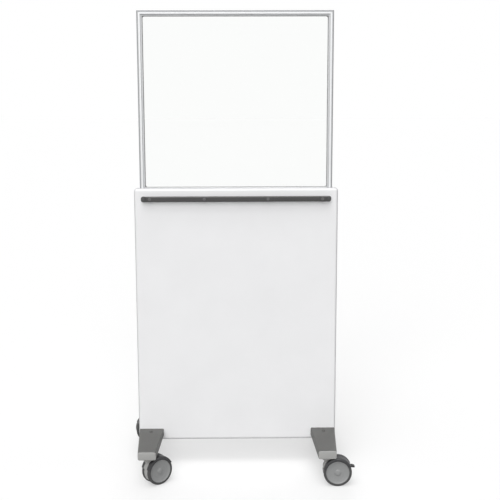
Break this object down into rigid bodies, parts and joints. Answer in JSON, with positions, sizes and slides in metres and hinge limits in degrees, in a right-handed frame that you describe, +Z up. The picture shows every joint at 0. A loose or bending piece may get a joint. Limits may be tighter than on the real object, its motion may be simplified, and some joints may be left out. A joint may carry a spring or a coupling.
{
  "type": "mobile lead barrier",
  "caption": "Free-standing radiation screen: leaded white panel with a lead-glass window above, an accessory rail, box feet and twin-wheel swivel casters.",
  "frame": {"origin": "on the floor, in the middle of the whole object's footprint; the panel's middle plane stands 26 mm in front of it", "axes": "+Z up, +X along the panel's width to the right of someone facing the rail, +Y towards the back; the accessory rail is on the -Y face"},
  "size_m": [1.0317, 0.7145, 2.067],
  "materials": {
    "white_powder_coat": "satin white powder coat",
    "anodised_aluminium": "silver anodised, satin",
    "lead_glass": "clear polished lead glass",
    "gasket_rubber": "matt dark grey",
    "sheet_lead": "dull grey rolled lead, hidden inside the panel",
    "galvanised_steel": "plain galvanised, hidden inside the panel",
    "dark_grey_rail": "dark grey satin coat",
    "dark_cap_plastic": "nearly black, matt",
    "spacer_steel": "plain turned steel",
    "grey_foot_paint": "mid grey fine-textured coat",
    "light_grey_foot_cap": "light grey moulded, matt",
    "zinc_plated_steel": "zinc plated, slightly olive",
    "dark_hood_plastic": "nearly black moulded nylon",
    "tyre_rubber": "dark grey rubber tread",
    "grey_wheel_disc": "light grey moulded",
    "brake_lever_black": "black moulded"
  },
  "bodies": {
    "barrier": {"front_cover": "white_powder_coat", "rear_cover": "white_powder_coat", "left_upright": "anodised_aluminium", "right_upright": "anodised_aluminium", "window_top_rail": "anodised_aluminium", "window_sill_rail": "anodised_aluminium", "lead_glass_pane": "lead_glass", "front_gasket": "gasket_rubber", "rear_gasket": "gasket_rubber", "lead_sheet": "sheet_lead", "lower_cross_rail": "galvanised_steel", "middle_cross_rail": "galvanised_steel", "accessory_rail": "dark_grey_rail", "left_rail_cap": "dark_cap_plastic", "right_rail_cap": "dark_cap_plastic", "rail_spacer_1": "spacer_steel", "rail_spacer_2": "spacer_steel", "rail_spacer_3": "spacer_steel", "rail_spacer_4": "spacer_steel", "front_left_foot": "grey_foot_paint", "front_left_foot_cap": "light_grey_foot_cap", "front_left_swivel_head": "zinc_plated_steel", "front_right_foot": "grey_foot_paint", "front_right_foot_cap": "light_grey_foot_cap", "front_right_swivel_head": "zinc_plated_steel", "rear_left_foot": "grey_foot_paint", "rear_left_foot_cap": "light_grey_foot_cap", "rear_left_swivel_head": "zinc_plated_steel", "rear_right_foot": "grey_foot_paint", "rear_right_foot_cap": "light_grey_foot_cap", "rear_right_swivel_head": "zinc_plated_steel"},
    "front_left_caster": {"front_left_hood": "dark_hood_plastic", "front_left_axle": "spacer_steel"},
    "front_left_wheel_1": {"front_left_tyre_1": "tyre_rubber", "front_left_disc_1": "grey_wheel_disc"},
    "front_left_wheel_2": {"front_left_tyre_2": "tyre_rubber", "front_left_disc_2": "grey_wheel_disc"},
    "front_right_caster": {"front_right_hood": "dark_hood_plastic", "front_right_axle": "spacer_steel"},
    "front_right_wheel_1": {"front_right_tyre_1": "tyre_rubber", "front_right_disc_1": "grey_wheel_disc"},
    "front_right_wheel_2": {"front_right_tyre_2": "tyre_rubber", "front_right_disc_2": "grey_wheel_disc"},
    "front_right_brake": {"front_right_brake_lever": "brake_lever_black"},
    "rear_left_caster": {"rear_left_hood": "dark_hood_plastic", "rear_left_axle": "spacer_steel"},
    "rear_left_wheel_1": {"rear_left_tyre_1": "tyre_rubber", "rear_left_disc_1": "grey_wheel_disc"},
    "rear_left_wheel_2": {"rear_left_tyre_2": "tyre_rubber", "rear_left_disc_2": "grey_wheel_disc"},
    "rear_right_caster": {"rear_right_hood": "dark_hood_plastic", "rear_right_axle": "spacer_steel"},
    "rear_right_wheel_1": {"rear_right_tyre_1": "tyre_rubber", "rear_right_disc_1": "grey_wheel_disc"},
    "rear_right_wheel_2": {"rear_right_tyre_2": "tyre_rubber", "rear_right_disc_2": "grey_wheel_disc"},
    "rear_right_brake": {"rear_right_brake_lever": "brake_lever_black"}
  },
  "joints": [
    {"name": "front_left_swivel", "type": "hinge", "parent": "barrier", "child": "front_left_caster", "pos_m": [-0.394, -0.308, 0.13], "axis": [0, 0, 1], "continuous": true},
    {"name": "front_left_wheel_1_roll", "type": "hinge", "parent": "front_left_caster", "child": "front_left_wheel_1", "pos_m": [-0.35657, -0.27876, 0.0625], "axis": [-0.6157, 0.788, 0], "continuous": true},
    {"name": "front_left_wheel_2_roll", "type": "hinge", "parent": "front_left_caster", "child": "front_left_wheel_2", "pos_m": [-0.35657, -0.27876, 0.0625], "axis": [-0.6157, 0.788, 0], "continuous": true},
    {"name": "front_right_swivel", "type": "hinge", "parent": "barrier", "child": "front_right_caster", "pos_m": [0.394, -0.308, 0.13], "axis": [0, 0, 1], "continuous": true},
    {"name": "front_right_wheel_1_roll", "type": "hinge", "parent": "front_right_caster", "child": "front_right_wheel_1", "pos_m": [0.4415, -0.308, 0.0625], "axis": [0, 1, 0], "continuous": true},
    {"name": "front_right_wheel_2_roll", "type": "hinge", "parent": "front_right_caster", "child": "front_right_wheel_2", "pos_m": [0.4415, -0.308, 0.0625], "axis": [0, 1, 0], "continuous": true},
    {"name": "front_right_brake_press", "type": "hinge", "parent": "front_right_caster", "child": "front_right_brake", "pos_m": [0.4515, -0.308, 0.0805], "axis": [0, 1, 0], "range_deg": [0, 12]},
    {"name": "rear_left_swivel", "type": "hinge", "parent": "barrier", "child": "rear_left_caster", "pos_m": [-0.394, 0.256, 0.13], "axis": [0, 0, 1], "continuous": true},
    {"name": "rear_left_wheel_1_roll", "type": "hinge", "parent": "rear_left_caster", "child": "rear_left_wheel_1", "pos_m": [-0.44078, 0.24775, 0.0625], "axis": [0.1736, -0.9848, 0], "continuous": true},
    {"name": "rear_left_wheel_2_roll", "type": "hinge", "parent": "rear_left_caster", "child": "rear_left_wheel_2", "pos_m": [-0.44078, 0.24775, 0.0625], "axis": [0.1736, -0.9848, 0], "continuous": true},
    {"name": "rear_right_swivel", "type": "hinge", "parent": "barrier", "child": "rear_right_caster", "pos_m": [0.394, 0.256, 0.13], "axis": [0, 0, 1], "continuous": true},
    {"name": "rear_right_wheel_1_roll", "type": "hinge", "parent": "rear_right_caster", "child": "rear_right_wheel_1", "pos_m": [0.4293, 0.28778, 0.0625], "axis": [-0.6691, 0.7431, 0], "continuous": true},
    {"name": "rear_right_wheel_2_roll", "type": "hinge", "parent": "rear_right_caster", "child": "rear_right_wheel_2", "pos_m": [0.4293, 0.28778, 0.0625], "axis": [-0.6691, 0.7431, 0], "continuous": true},
    {"name": "rear_right_brake_press", "type": "hinge", "parent": "rear_right_caster", "child": "rear_right_brake", "pos_m": [0.43673, 0.29447, 0.0805], "axis": [-0.6691, 0.7431, 0], "range_deg": [0, 12]}
  ]
}
